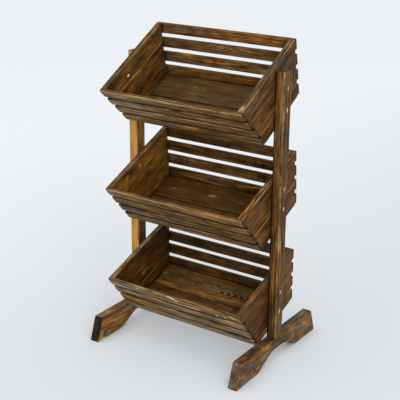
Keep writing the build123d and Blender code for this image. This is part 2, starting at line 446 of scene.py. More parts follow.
own(
    "lower_crate_left_end_upper_board",
    Mark(EDGE, -0.05, 0.0, 0.3, 0.02, light=1.2, grey=0.5, warm=-0.7),
    Mark(FACE, -0.0265, -0.0335, 0.012, 0.009, light=1.3),
    # Painted shade on the inside, darker towards the rear
    Mark(FACE, 0.13, 0.0, 0.05, 0.1, light=-0.4),
    worn=(0.5, 0.2, 0.2, 0.8), knots=((-0.0265, -0.0335, 0.006, ROUND_GOLDEN),),
)
own(
    "lower_crate_left_end_lower_board",
    Mark(FACE, 0.005, 0.024, 0.05, 0.0025, light=1.6, warm=-0.5),
    Mark(FACE, -0.02, 0.012, 0.06, 0.005, light=0.9),
    Mark(FACE, -0.01, -0.006, 0.05, 0.004, light=0.7),
    worn=(0.3, 0.0, 0.2, 0.6),
)
own(
    "lower_crate_right_end_upper_board",
    Mark(EDGE, -0.072, 0.0, 0.028, 0.012, light=1.0, grey=-0.5, warm=1.4),
    Mark(FACE, -0.02, 0.02, 0.06, 0.03, light=0.25, warm=0.6),
    Mark(FACE, 0.14, 0.0, 0.06, 0.1, light=1.2, warm=-0.3),
    shade=0.63, warm=0.4, figure=0.6, lines=0.1, worn=(0.4, 0.1, 0.0, 0.2),
)
own(
    "lower_crate_right_end_lower_board",
    Mark(FACE, 0.115, 0.01, 0.05, 0.06, light=1.2, warm=-0.3),
    shade=0.67, warm=0.4, lines=0.25,
)
own(
    CHIPPED_RIM,
    Mark(EDGE, 0.155, -0.0025, 0.085, 0.0055, light=-0.6),
    Mark(EDGE, -0.005, 0.002, 0.02, 0.001, chip=0.9, slant=0.05),
    Mark(EDGE, -0.11, 0.0, 0.11, 0.01, light=-0.25, grey=0.3),
    Mark(FACE, -0.132, 0.013, 0.012, 0.003, chip=0.75),
    Mark(FACE, 0.004, 0.0113, 0.026, 0.0045, chip=0.9, slant=-0.18),
    Mark(FACE, 0.072, -0.0075, 0.045, 0.0045, chip=0.85),
    Mark(FACE, 0.161, -0.006, 0.008, 0.004, chip=0.8),
    Mark(FACE, 0.191, -0.006, 0.008, 0.004, chip=0.8),
    Mark(FACE, 0.219, 0.014, 0.006, 0.004, chip=0.8),
    Mark(FACE, 0.226, 0.004, 0.008, 0.004, chip=0.85),
    Mark(FACE, -0.19, -0.008, 0.06, 0.012, light=0.1, grey=0.5),
    edge_shade=0.65, face_shade=0.85, grey=0.4, worn=(0.25, -0.5, -0.9, 0.0),
    chipped=(
        (-0.24, -0.21, 0.0015),
        (-0.15, -0.12, 0.0025),
        (-0.035, 0.11, 0.0035),
        (0.145, 0.24, 0.004),
    ),
)
dulled = Mark(FACE, -0.2, 0.0, 0.07, 0.03, light=-0.05, grey=0.5, warm=-0.6)
own("lower_crate_front_slat_3", dulled)
own("lower_crate_front_slat_4", dulled)


def screw_heights(crate):
    """How high the two screws in each end of a crate lie."""
    return [crate.height + crate.screws + step * SCREW_SPACING / 2 for step in (-1, 1)]


def place_marks(node):
    """The marks that a board has by its place: painted shade in corners, a weathered rim, countersunk
    screws.
    """
    marks = []
    # Painted shade where each back slat meets an end board, along the foot of the last back slat, and at
    # both ends of the floor boards
    if "back_slat" in node:
        marks.append(Mark(FAR_FACE, FLOOR_LENGTH / 2, 0.0, 0.007, 0.2, light=-0.75))
    if node.endswith(f"back_slat_{SLAT_COUNT}"):
        marks.append(Mark(FAR_FACE, 0.0, -0.014, 0.5, 0.006, light=-0.6))
    if "floor" in node:
        for sign in SIDES.values():
            marks.append(Mark(FACE, sign * FLOOR_LENGTH / 2, 0.0, 0.006, 0.2, light=-0.7))
    if "end_upper" in node:
        marks.append(Mark(EDGE, 0.0, 0.0, 0.3, 0.03, light=-0.1, grey=0.35, warm=-0.2))
    if "post" in node:
        outer = EDGE if node == "right_post" else FAR_EDGE
        for crate in CRATES.values():
            for height in screw_heights(crate):
                marks.append(Mark(outer, height - POST_MIDDLE_HEIGHT, 0.0, 0.010, 0.004, chip=0.75))
    return marks


def look_of(node):
    """The look of a node's board: its kind's, with what it shares with others and what is its own."""
    look = next(look for kind, look in KINDS.items() if kind in node)
    for part, changes in SHARED.items():
        if part in node:
            look = replace(look, **changes)
    look = replace(look, **OWN.get(node, {}))
    return replace(look, marks=(*place_marks(node), *look.marks))


def seeded(name):
    """Random numbers that are the same for a name on every run."""
    return np.random.default_rng(zlib.crc32(name.encode()))


def ripple(rng, points, wavelengths, terms=7):
    """A smooth random field over the points, about -1 to 1, from a few waves of the given lengths."""
    total = np.zeros(points.shape[:-1])
    for _ in range(terms):
        direction = rng.normal(size=points.shape[-1])
        wave = 2 * math.pi * direction / np.array(wavelengths)
        total += np.sin(points @ wave + rng.uniform(0, 2 * math.pi))
    return total / math.sqrt(terms)


# Boards: where each one lies and what shape it is cut to


def axes(along, across, through, middle):
    columns = [Vector(along), Vector(across), Vector(through)]
    return Matrix.Translation(middle) @ Matrix(columns).transposed().to_4x4()


def end_board(sign, bottom, top):
    middle = (bottom + top) / 2
    place = axes((0, 1, 0), (0, 0, 1), (1, 0, 0), (sign * END_MIDDLE, 0, middle))
    length = 2 * (END_BOTTOM_DEPTH / 2 + END_FLARE * middle / END_HEIGHT)
    return Board(place, length, top - bottom, END_THICKNESS, END_RADIUS, rake=END_FLARE / END_HEIGHT)


def front_slat(number):
    along_slope = END_SLANT - (number - 1) * SLAT_PITCH - SLAT_WIDTH / 2
    slope_foot = Matrix.Translation((0, -END_BOTTOM_DEPTH / 2, 0))
    slope = slope_foot @ Matrix.Rotation(math.pi / 2 + END_LEAN, 4, "X")
    place = slope @ Matrix.Translation((0, along_slope, SLAT_THICKNESS / 2))
    return Board(place, CRATE_LENGTH, SLAT_WIDTH, SLAT_THICKNESS, SLAT_RADIUS)


def back_slat(number):
    slat = front_slat(number)
    slat.place = Matrix.Rotation(math.pi, 4, "Z") @ slat.place
    return slat


def floor_board(side):
    place = Matrix.Translation((0, side * FLOOR_MIDDLE, FLOOR_THICKNESS / 2))
    return Board(place, FLOOR_LENGTH, FLOOR_BOARD_DEPTH, FLOOR_THICKNESS, FLOOR_RADIUS)


def crate_boards(seam):
    """The boards of one crate, standing level on its floor."""
    boards = {}
    for side, sign in SIDES.items():
        boards[f"{side}_end_lower_board"] = end_board(sign, 0, seam)
        boards[f"{side}_end_upper_board"] = end_board(sign, seam, END_HEIGHT)
    for number in range(1, SLAT_COUNT + 1):
        boards[f"front_slat_{number}"] = front_slat(number)
        boards[f"back_slat_{number}"] = back_slat(number)
    boards["floor_front_board"] = floor_board(-1)
    boards["floor_rear_board"] = floor_board(1)
    return boards


def arch(along):
    """How far the underside of a foot stands off the floor: a sloped mouth, a round corner, a level top."""
    run = ARCH_MOUTH - ARCH_TOP_LENGTH / 2
    slope = math.atan2(ARCH_RISE, run)
    level_half = ARCH_TOP_LENGTH / 2 - ARCH_RADIUS * math.tan(slope / 2)
    place = np.abs(along)
    rising = (ARCH_MOUTH - place) * ARCH_RISE / run
    inside = np.clip(place - level_half, 0, ARCH_RADIUS * math.sin(slope))
    rounded = ARCH_RISE - ARCH_RADIUS + np.sqrt(ARCH_RADIUS**2 - inside**2)
    return np.clip(np.minimum(rising, rounded), 0, ARCH_RISE)


def foot(sign):
    place = axes((0, 1, 0), (0, 0, 1), (1, 0, 0), (sign * POST_MIDDLE, 0, FOOT_HEIGHT / 2))
    length = FOOT_LENGTH - FOOT_END_RAKE
    rake = -FOOT_END_RAKE / FOOT_HEIGHT
    return Board(place, length, FOOT_HEIGHT, FOOT_THICKNESS, FOOT_RADIUS, rake, lift=arch)


def post(sign):
    place = axes((0, 0, 1), (1, 0, 0), (0, 1, 0), (sign * POST_MIDDLE, 0, POST_MIDDLE_HEIGHT))
    return Board(place, POST_TOP - FOOT_HEIGHT, POST_THICKNESS, POST_DEPTH, POST_RADIUS)


def hung(crate):
    """The move of a crate from level on the origin to its place between the posts."""
    middle = Matrix.Translation((0, crate.setback, crate.height))
    tilt = Matrix.Rotation(math.radians(crate.tilt), 4, "X")
    return middle @ tilt @ Matrix.Translation((0, 0, -END_HEIGHT / 2))


def rack_boards():
    """Every board of the rack by the name of its node."""
    boards = {}
    for name, crate in CRATES.items():
        for board_name, board in crate_boards(crate.seam).items():
            board.place = hung(crate) @ board.place
            boards[f"{name}_crate_{board_name}"] = board
    for side, sign in SIDES.items():
        boards[f"{side}_foot"] = foot(sign)
        boards[f"{side}_post"] = post(sign)
    boards[CHIPPED_RIM].fineness = RIM_FINENESS
    return boards


# Meshes: a rounded section carried along the board, with eased saw cuts and worn arrises


def section(board):
    """Points round the board's section and the directions they face, counter-clockwise."""
    points = []
    facing = []
    half = np.array([board.width / 2 - board.radius, board.thickness / 2 - board.radius])
    for turn, sign in enumerate(ARRISES):
        for step in range(CORNER_STEPS + 1):
            angle = math.pi / 2 * (turn + step / CORNER_STEPS)
            normal = np.array([math.cos(angle), math.sin(angle)])
            points.append(half * sign + board.radius * normal)
            facing.append(normal)
        following = half * ARRISES[(turn + 1) % 4] + board.radius * facing[-1]
        count = max(2, round(np.linalg.norm(following - points[-1]) * board.fineness / ACROSS_STEP))
        start = points[-1]
        for step in range(1, count):
            points.append(start + (following - start) * step / count)
            facing.append(facing[-1])
    return np.array(points), np.array(facing)


def stations(board):
    """Shares of the length where the section is set, with one at each corner of a foot's arch."""
    count = math.ceil(board.length * board.fineness / ALONG_STEP)
    shares = list(np.linspace(0, 1, count + 1))
    if board.lift:
        shares += [0.5 - ARCH_MOUTH / FOOT_LENGTH, 0.5 + ARCH_MOUTH / FOOT_LENGTH]
    return np.array(sorted(shares))


def eased_rows(board):
    """Each row's share of the length, its distance in from the saw cut and how far its section shrinks."""
    angles = np.linspace(0, math.pi / 2, EASE_STEPS + 1)[:-1]
    advance = END_EASE * (1 - np.cos(angles))
    shrink = END_EASE * (1 - np.sin(angles))
    middle = stations(board)
    share = np.concatenate([np.zeros(EASE_STEPS), middle, np.ones(EASE_STEPS)])
    inward = np.concatenate([advance, np.full(len(middle), END_EASE), advance[::-1]])
    shrunk = np.concatenate([shrink, np.zeros(len(middle)), shrink[::-1]])
    return share, inward, shrunk


def closeness(board, points, arris, reach):
    """How close each point of the section is to an arris, from 0 to 1."""
    corner = np.array(arris) * (board.width / 2, board.thickness / 2)
    return np.exp(-((np.linalg.norm(points - corner, axis=1) / reach) ** 2))


def sawn_shape(board):
    """The board's vertices in its own axes as it is sawn, and the points and directions of its section."""
    points, facing = section(board)
    share, inward, shrunk = eased_rows(board)
    across, through = np.moveaxis(points - shrunk[:, None, None] * facing, -1, 0)
    half = board.length / 2 + board.rake * across
    along = (2 * share[:, None] - 1) * (half - END_EASE)
    outward = np.where(share < 0.5, -1, 1) * np.isin(share, (0, 1)) * (END_EASE - inward)
    along += outward[:, None]
    if board.lift:
        level = (across + board.width / 2) / board.width
        across = across + board.lift(along) * (1 - level)
    return np.stack([along, across, through], axis=-1), points, facing


def wear_and_painted_light_of(rng, board, look, sawn, points):
    """How abraded each vertex is, with painted highlight at abraded arrises and painted shade below 0, how
    chipped it is, and how much wood has gone there.
    """
    wear_and_painted_light, bite, chips = np.zeros((3, *sawn.shape[:2]))
    reach = ARRIS_REACH + ARRIS_REACH_PER_RADIUS * board.radius
    for arris, amount, spread in zip(ARRISES, look.worn, look.reach):
        close = closeness(board, points, arris, spread * reach)
        patches = 0.55 + 0.45 * ripple(rng, sawn, ARRIS_WAVELENGTHS)
        wear_and_painted_light += close * amount * np.clip(0.6 + 0.4 * patches, 0, 1.3)
        bite += close * max(amount, 0) * WEAR_DEPTH * np.clip(patches, 0, 1.5)
    for begin, finish, depth in look.chipped:
        along = sawn[..., 0]
        stretch = np.clip((along - begin) / CHIP_FADE, 0, 1) * np.clip((finish - along) / CHIP_FADE, 0, 1)
        ragged = np.clip(0.4 + 0.6 * ripple(rng, sawn, CHIP_WAVELENGTHS), 0, 1.4)
        bite += closeness(board, points, ARRISES[0], CHIP_REACH) * stretch * depth * ragged
        chips += BARE_SHARE * closeness(board, points, ARRISES[0], BARE_REACH) * stretch * ragged
    return wear_and_painted_light, bite, chips


def marks_on(look, sawn, towards):
    """How much lighter, greyer, warmer and more chipped its marks make each vertex of a board."""
    change = np.zeros((*sawn.shape[:2], 4))
    for mark in look.marks:
        on_edge = mark.side in (EDGE, FAR_EDGE)
        along = sawn[..., 0] - mark.along
        aside = sawn[..., 2 if on_edge else 1] - mark.aside - mark.slant * along
        soft = np.exp(-((along / mark.length) ** 2) - (aside / mark.width) ** 2) * towards[:, mark.side]
        change += soft[..., None] * np.array([mark.light, mark.grey, mark.warm, mark.chip])
    return change


def board_shape(name, board, look):
    """The board's vertices as sawn and as they are now, with the abrasion and painted arris light and
    shade, chips, bareness and tone of each.
    """
    rng = seeded(name)
    sawn, points, facing = sawn_shape(board)
    wear_and_painted_light, bite, chips = wear_and_painted_light_of(rng, board, look, sawn, points)
    push = FACE_WAVE * ripple(rng, sawn, FACE_WAVELENGTHS) - bite
    shaped = sawn.copy()
    shaped[..., 1:] += push[..., None] * facing
    bow = rng.uniform(-BOW, BOW)
    if not board.lift:
        shaped[..., 2] += bow * np.cos(math.pi * np.clip(sawn[..., 0] / board.length, -0.5, 0.5))
    towards = np.clip(facing @ SIDE_NORMALS.T, 0, 1) ** SIDE_SHARPNESS
    towards /= towards.sum(axis=1, keepdims=True)
    lighter, greyer, warmer, barer = np.moveaxis(marks_on(look, sawn, towards), -1, 0)
    # Each side's own tone, partly painted light and shade for how light falls on that side
    side_shades = np.array([look.edge_shade, look.face_shade, 1, 1])
    shade = look.shade * (towards @ side_shades) * np.clip(1 + lighter, DARKEST_MARK, None)
    bare = np.broadcast_to(towards @ np.array(look.bare), wear_and_painted_light.shape)
    grey = np.clip(look.grey + greyer, 0, 1)
    return sawn, shaped, np.stack([wear_and_painted_light, chips + barer, bare, shade, grey, look.warm + warmer], axis=-1)


def tube_quads(rows, columns, first=0):
    """Quads of an open tube."""
    start = first + columns * np.arange(rows - 1)[:, None]
    here = start + np.arange(columns)
    beside = start + np.roll(np.arange(columns), -1)
    return np.stack([here, here + columns, beside + columns, beside], axis=-1).reshape(-1, 4).tolist()


def shut_tube(rows, columns):
    """Quads of a tube and its two ends."""
    last = (rows - 1) * columns
    ends = [list(range(columns)), list(range(last + columns - 1, last - 1, -1))]
    return tube_quads(rows, columns) + ends


def put_attribute(mesh, name, *values, domain="POINT"):
    """Three numbers for each vertex or face, any of them the same all over."""
    attribute = mesh.attributes.new(name, "FLOAT_VECTOR", domain)
    columns = np.stack(np.broadcast_arrays(*values), axis=-1)
    attribute.data.foreach_set("vector", columns.astype(np.float32).ravel())


KNOT_COUNT = 3
KNOT_STRETCH = 1.5
GOLDEN_STRETCH = 2.6
NO_KNOT = (9.0, 9.0, 0.001, GOLDEN)  # far off any board
KNOT_BEND = 3.0  # how many rings further out the middle of a knot seems to lie
KNOT_FALLOFF = -0.3  # how fast that ends with the square of the distance


def random_heart(rng):
    """A place for the pith of a board, across and through."""
    across = rng.uniform(-PITH_ACROSS, PITH_ACROSS)
    return across, rng.choice([-1, 1]) * rng.uniform(*PITH_THROUGH)


def dress_board(mesh, name, look, sawn, state):
    """What the wood's material reads: its grain, pith, tone, abrasion with painted arris light and shade,
    knots and saw cuts.
    """
    rng = seeded(name + " grain")
    heart = look.heart or random_heart(rng)
    drift = look.drift or tuple(rng.uniform(-PITH_DRIFT, PITH_DRIFT, 2))
    rows, columns = sawn.shape[:2]
    along, across, through = np.moveaxis(sawn.reshape(-1, 3), -1, 0)
    wear_and_painted_light, chips, bare, shade, grey, warm = np.moveaxis(state.reshape(len(along), -1), -1, 0)
    shift = rng.uniform(0, GRAIN_SHIFT)
    wandered = np.maximum(along, look.drift_from)
    pith_across = (across - heart[0] - drift[0] * wandered) / look.ring
    pith_through = (through - heart[1] - drift[1] * wandered) / look.ring
    put_attribute(mesh, "grain", along + shift, across, through)
    put_attribute(mesh, "pith", pith_across, pith_through, shift)
    put_attribute(mesh, "tone", shade, grey, look.lines)
    put_attribute(mesh, "mood", bare, warm, look.figure)
    put_attribute(mesh, "state", wear_and_painted_light, chips, look.mottle)
    knots = list(look.knots) + [NO_KNOT] * (KNOT_COUNT - len(look.knots))
    for number, (knot_along, knot_across, size, kind) in enumerate(knots):
        stretch = GOLDEN_STRETCH if kind == GOLDEN else KNOT_STRETCH
        reach_along = (along - knot_along) / (stretch * size)
        put_attribute(mesh, f"knot_{number}", reach_along, (across - knot_across) / size, kind)
    cut = np.zeros((rows - 1, columns))
    cut[:EASE_STEPS] = look.cut
    cut[-EASE_STEPS:] = look.cut
    put_attribute(mesh, "cut", np.append(cut, [look.cut, look.cut]), look.cut_grey, 0, domain="FACE")


def put_in_scene(name, data):
    holder = bpy.data.objects.new(name, data)
    bpy.context.scene.collection.objects.link(holder)
    return holder


def add_piece(name, mesh, material, node):
    """A mesh of the rack as a piece that stands for a node."""
    mesh.materials.append(material)
    mesh.update()
    piece = put_in_scene(name, mesh)
    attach(piece, "root")
    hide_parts(node)


def board_piece(name, board, look, material):
    """One board of the rack as a mesh that stands for its solid."""
    sawn, shaped, state = board_shape(name, board, look)
    mesh = bpy.data.meshes.new(name + "_timber")
    mesh.from_pydata(shaped.reshape(-1, 3).tolist(), [], shut_tube(*sawn.shape[:2]))
    dress_board(mesh, name, look, sawn, state)
    smooth = np.ones(len(mesh.polygons), bool)
    smooth[-2:] = False
    mesh.polygons.foreach_set("use_smooth", smooth)
    mesh.transform(board.place)
    add_piece(name + "_timber", mesh, material, name)


# Fixings: cross-head screws through the posts and brads in the slats and floors


def thread_height(angle, depth):
    """How far a screw's thread stands up at a place round and down its shank, from 0 to 1."""
    phase = (depth / SCREW_PITCH - angle / (2 * math.pi)) % 1
    return max(0, 1 - abs(phase - 0.5) / THREAD_FLANK)


def recess_depth(across, beside):
    """How deep the cross in a screw's head is at a place on it."""
    depth = 0
    for along, aside in ((across, beside), (beside, across)):
        flank = 1 - max(0, abs(aside) - RECESS_WIDTH / 2) / RECESS_FLANK
        reach = 1 - abs(along) / RECESS_REACH
        share = min(flank, RECESS_END_SLOPE * reach, 1) * min(1, RECESS_END_DEPTH + reach)
        depth = max(depth, share * RECESS_DEPTH)
    return depth


def screw_rings():
    """Rings of a screw from the middle of its head to its tip: radius and height, head on the XY plane."""
    core = SCREW_DIAMETER / 2 - SCREW_THREAD
    rim = SCREW_HEAD / 2
    for step in range(1, HEAD_RINGS + 1):
        radius = rim * step / HEAD_RINGS
        spots = [(radius * math.cos(angle), radius * math.sin(angle)) for angle in SCREW_ANGLES]
        yield [(radius, -recess_depth(*spot)) for spot in spots]
    neck = rim - SCREW_DIAMETER / 2
    yield [(rim, -SCREW_RIM)] * SCREW_SIDES
    yield [(SCREW_DIAMETER / 2, -neck - SCREW_RIM)] * SCREW_SIDES
    start = neck + 2 * SCREW_RIM
    for row in range(SHANK_ROWS + 1):
        depth = start + (SCREW_LENGTH - start) * row / SHANK_ROWS
        taper = min(1, (SCREW_LENGTH - depth) / SCREW_POINT + SCREW_TIP)
        threads = [thread_height(angle, depth) for angle in SCREW_ANGLES]
        yield [(taper * (core + SCREW_THREAD * thread), -depth) for thread in threads]


def screw_shape():
    """A countersunk wood screw with a cross in its head, head on the XY plane and pointing down."""
    points = [(0, 0, -RECESS_DEPTH)]
    for ring in screw_rings():
        for (radius, height), angle in zip(ring, SCREW_ANGLES):
            points.append((radius * math.cos(angle), radius * math.sin(angle), height))
    tip = len(points)
    points.append((0, 0, -SCREW_LENGTH))
    last = tip - SCREW_SIDES
    faces = tube_quads((tip - 1) // SCREW_SIDES, SCREW_SIDES, first=1)
    for side in range(SCREW_SIDES):
        beside = (side + 1) % SCREW_SIDES
        faces.append((0, 1 + side, 1 + beside))
        faces.append((last + side, tip, last + beside))
    return points, faces


def brad_shape():
    """A brad of square wire with a small bevelled head and a chisel point, head on the XY plane."""
    wire = BRAD_WIDTH / 2
    head = BRAD_HEAD / 2
    rings = [
        (head - BRAD_PROUD, wire - BRAD_PROUD, BRAD_PROUD),
        (head, wire, 0),
        (head, wire, -BRAD_WIDTH / 2),
        (wire, wire, -BRAD_WIDTH),
        (wire, wire, -BRAD_LENGTH + 2 * BRAD_WIDTH),
        (wire, wire / BRAD_POINT_TAPER, -BRAD_LENGTH),
    ]
    points = []
    for half_length, half_width, height in rings:
        points += [(x * half_length, y * half_width, height) for x, y in ARRISES]
    return points, shut_tube(len(rings), len(ARRISES))


def fixing_piece(name, shape, places, material, node):
    """Many copies of one fixing as a single piece."""
    points, faces = shape
    all_points = []
    all_faces = []
    for place in places:
        start = len(all_points)
        all_points += [place @ Vector(point) for point in points]
        all_faces += [[start + corner for corner in face] for face in faces]
    mesh = bpy.data.meshes.new(name)
    mesh.from_pydata(all_points, [], all_faces)
    mesh.shade_smooth()
    mesh.set_sharp_from_angle(angle=math.radians(SHARP_ANGLE))
    add_piece(name, mesh, material, node)


def driven_in(sign, head):
    """The place of a fixing that is driven towards the middle of the rack from one of its sides."""
    return Matrix.Translation(head) @ Matrix.Rotation(sign * math.pi / 2, 4, "Y")


def screw_places(crate):
    """Where the four screws of a crate lie: two through each post, heads on its outer face."""
    places = []
    for sign in SIDES.values():
        places += [driven_in(sign, (sign * POST_OUTER, 0, height)) for height in screw_heights(crate)]
    return places


def brad_places():
    """Where the brads of a level crate lie: two at each end of a slat, two at each end of a floor board."""
    places = []
    slats = [slat(number) for number in range(1, SLAT_COUNT + 1) for slat in (front_slat, back_slat)]
    for slat, along, step in product(slats, (-END_MIDDLE, END_MIDDLE), (-1, 1)):
        spot = (along, step * SLAT_BRAD_SPACING / 2, SLAT_THICKNESS / 2)
        places.append(slat.place @ Matrix.Translation(spot))
    for side, sign, step in product((-1, 1), SIDES.values(), (-1, 1)):
        depth = side * FLOOR_MIDDLE + step * FLOOR_BRAD_SPACING / 2
        places.append(driven_in(sign, (sign * CRATE_LENGTH / 2, depth, FLOOR_THICKNESS / 2)))
    return places


# Materials


def linear(red, green, blue):
    """A colour given in 0 to 255 as the eye sees it, as the renderer counts light."""
    shares = [value / 255 for value in (red, green, blue)]
    light = [share / 12.92 if share <= 0.04045 else ((share + 0.055) / 1.055) ** 2.4 for share in shares]
    return (*light, 1.0)


def add_node(tree, kind, inputs=(), **settings):
    node = tree.nodes.new(kind)
    for key, value in settings.items():
        setattr(node, key, value)
    for key, value in dict(inputs).items():
        feed(node.inputs[key], value)
    return node


def feed(socket, value):
    """Links a signal to a socket, or sets the socket to a plain value."""
    if isinstance(value, Signal):
        socket.id_data.links.new(value.socket, socket)
    else:
        socket.default_value = value


class Signal:
    """A number, vector, colour or shader that one node of a material gives to further nodes."""

    def __init__(self, socket):
        self.socket = socket

    def through(self, kind, inputs, output=0, **settings):
        """What a new node in the same tree gives."""
        return Signal(add_node(self.socket.id_data, kind, inputs, **settings).outputs[output])

    def math(self, operation, *others):
        return self.through("ShaderNodeMath", dict(enumerate((self, *others))), operation=operation)

    def __add__(self, other):
        return self.math("ADD", other)

    def __sub__(self, other):
        return self.math("SUBTRACT", other)

    def __mul__(self, other):
        return self.math("MULTIPLY", other)

    def vector(self, operation, other=(0, 0, 0), output="Vector"):
        return self.through("ShaderNodeVectorMath", {0: self, 1: other}, output, operation=operation)

    def length(self):
        return self.vector("LENGTH", output="Value")

    def split(self):
        node = add_node(self.socket.id_data, "ShaderNodeSeparateXYZ", {0: self})
        return [Signal(output) for output in node.outputs]

    def join(self, *others):
        return self.through("ShaderNodeCombineXYZ", dict(enumerate((self, *others))))

    def noise(self, stretch=(1, 1, 1), detail=2.0, roughness=0.5):
        scaled = self.vector("MULTIPLY", stretch)
        inputs = {"Vector": scaled, "Scale": 1.0, "Detail": detail, "Roughness": roughness}
        return self.through("ShaderNodeTexNoise", inputs, "Fac")

    def spread(self, low, high, start=0.0, end=1.0):
        """A smooth step of the value from low to high."""
        inputs = {"Value": self, "From Min": low, "From Max": high, "To Min": start, "To Max": end}
        return self.through("ShaderNodeMapRange", inputs, interpolation_type="SMOOTHSTEP")

    def about(self, amount, base=0.0):
        """The value, centred on a half, as an amount either way."""
        return self.math("MULTIPLY_ADD", amount, base - amount / 2)

    def mix(self, first, second, blend="MIX"):
        """The first colour with this share of the second, from 0 to 1."""
        inputs = {"Factor": self, "A": first, "B": second}
        return self.through("ShaderNodeMix", inputs, "Result", data_type="RGBA", blend_type=blend)

    def blend(self, first, second):
        """The first shader with this share of the second."""
        return self.through("ShaderNodeMixShader", {0: self, 1: first, 2: second})

    def scale(self, amount):
        return self.through("ShaderNodeVectorMath", {0: self, "Scale": amount}, operation="SCALE")

    def saturate(self, amount):
        return self.through("ShaderNodeHueSaturation", {"Color": self, "Saturation": amount})

    def ramp(self, stops):
        node = add_node(self.socket.id_data, "ShaderNodeValToRGB", {"Fac": self})
        elements = node.color_ramp.elements
        while len(elements) < len(stops):
            elements.new(0.5)
        for element, (position, colour) in zip(elements, stops):
            element.position = position
            element.color = colour
        return Signal(node.outputs["Color"])

    def bump(self, strength, distance):
        return self.through("ShaderNodeBump", {"Strength": strength, "Distance": distance, "Height": self})


class Finish:
    """A new material, with short forms for what its nodes start from and end in."""

    def __init__(self, name):
        self.material = bpy.data.materials.new(name)
        self.material.use_nodes = True
        self.tree = self.material.node_tree
        self.shader = self.tree.nodes["Principled BSDF"]

    def source(self, kind, output, inputs=(), **settings):
        """What one output of a new node gives."""
        return Signal(add_node(self.tree, kind, inputs, **settings).outputs[output])

    def attribute(self, name):
        return self.source("ShaderNodeAttribute", "Vector", attribute_name=name)

    def place(self):
        return self.source("ShaderNodeTexCoord", "Object")

    def glow(self, colour, strength):
        return self.source("ShaderNodeEmission", 0, {"Color": colour, "Strength": strength})

    def set(self, name, value):
        feed(self.shader.inputs[name], value)


STAIN = [
    (0.00, linear(24, 13, 3)),
    (0.25, linear(52, 33, 10)),
    (0.50, linear(92, 62, 23)),
    (0.75, linear(140, 98, 39)),
    (1.00, linear(196, 145, 68)),
]
MIDDLE_TONE = 0.45  # the level of tone where nothing varies it
THIN_STAIN = [(0.10, linear(166, 102, 27)), (0.45, linear(197, 137, 47)), (0.85, linear(218, 169, 78))]
# Paler wood at abraded arrises, partly a painted highlight where an arris catches the light
WORN_WOOD_AND_HIGHLIGHT = linear(186, 144, 72)
WEATHERED_WOOD_AND_HIGHLIGHT = linear(156, 128, 88)
CUT_WOOD = [(0.0, linear(48, 31, 16)), (1.0, linear(132, 100, 64))]
KNOT_DARK = [(0.0, linear(30, 15, 7)), (1.0, linear(70, 38, 15))]
KNOT_GOLDEN = [(0.0, linear(92, 60, 20)), (1.0, linear(172, 128, 48))]
CHIP_WOOD = linear(222, 200, 166)
BARE_WOOD = [(0.3, linear(176, 138, 96)), (0.7, linear(214, 182, 140))]
ORANGE = (1.20, 0.93, 0.52, 1.0)
OLIVE = (0.92, 1.02, 0.84, 1.0)
SILVERED = (0.98, 1.02, 0.82, 1.0)
# Painted shade for the gaps and crevices beside some arrises
ARRIS_SHADE_TINT = (0.08, 0.08, 0.08, 1.0)
WHITE = (1.0, 1.0, 1.0, 1.0)
YELLOW_ZINC = (linear(214, 196, 150), linear(190, 166, 116))
DULL_STEEL = (linear(120, 104, 84), linear(78, 66, 54))
# Painted light on the paper: darker near the camera, lighter away from it and to its left
PAPER_PAINTED_LIGHT_TONES = (linear(215, 219, 223), linear(244, 248, 252))
PAPER_LIGHTENS = (-0.90, 0.44, 0.0)  # painted light: the way along the floor, away from the camera and to its left, that the paper grows lighter
PAPER_REACH = (-0.9, 3.0)  # where along that way the paper starts and ends to grow lighter
PAPER_EVEN = 0.46  # how much of its own even tone it shows
PAPER_FADE = (10.0, 30.0)  # where the far floor turns into the studio's own light
STUDIO_LIGHT = 0.85
CONTACT_REACH = 0.05  # how far from the rack a painted contact shadow darkens the floor's even tone
CONTACT_POWER = 0.8


def growth(finish, grain):
    """How many rings each point lies from the pith, bent round the knots, and how far from each knot."""
    pith_across, pith_through, seed = finish.attribute("pith").split()
    sway = grain.noise((5, 14, 14)).about(2.6)
    swirl = grain.noise((22, 90, 90)).about(0.5)
    rings = pith_across.join(pith_through).length() + (sway + swirl)
    knots = []
    for number in range(KNOT_COUNT):
        along, across, kind = finish.attribute(f"knot_{number}").split()
        distance = along.join(across).length()
        around = (distance * distance * KNOT_FALLOFF).math("EXPONENT")
        rings = around.math("MULTIPLY_ADD", KNOT_BEND, rings)
        knots.append((distance, kind))
    return rings, seed, knots


def figured(grain, rings, seed, late, fibre, lines):
    """How much darker or lighter the years, the fibres, the streaks and the late wood make each point."""
    along = grain.split()[0]
    years = (rings * 0.4).join(along * 1.1, seed).noise(detail=3.0)
    streak = grain.noise((9, 240, 240), detail=4.0, roughness=0.6)
    marked = lines * grain.noise((4, 14, 14)).spread(0.35, 0.65, 0.25, 1.3)
    return years.about(0.50) + fibre.about(0.60) + streak.about(1.25) + (late - 0.35) * (marked * 0.7)


def stained(grain, level, shade, warm, bare):
    """The colour of the stain at a level of tone: orange here, olive there, thin where it is bare."""
    hue = warm + grain.noise((7, 20, 20), detail=3.0).about(2.2)
    colour = hue.mix(level.ramp(STAIN), ORANGE, "MULTIPLY")
    colour = (hue * -1.0).mix(colour, OLIVE, "MULTIPLY")
    return bare.mix(colour.scale(shade), level.ramp(THIN_STAIN))


def weathered(grain, colour, grey):
    """The colour where it has gone grey in patches."""
    share = grey * grain.noise((5, 30, 30)).spread(0.3, 0.65)
    washed = colour.saturate(share * -0.75 + 1.0)
    return share.mix(washed, SILVERED, "MULTIPLY")


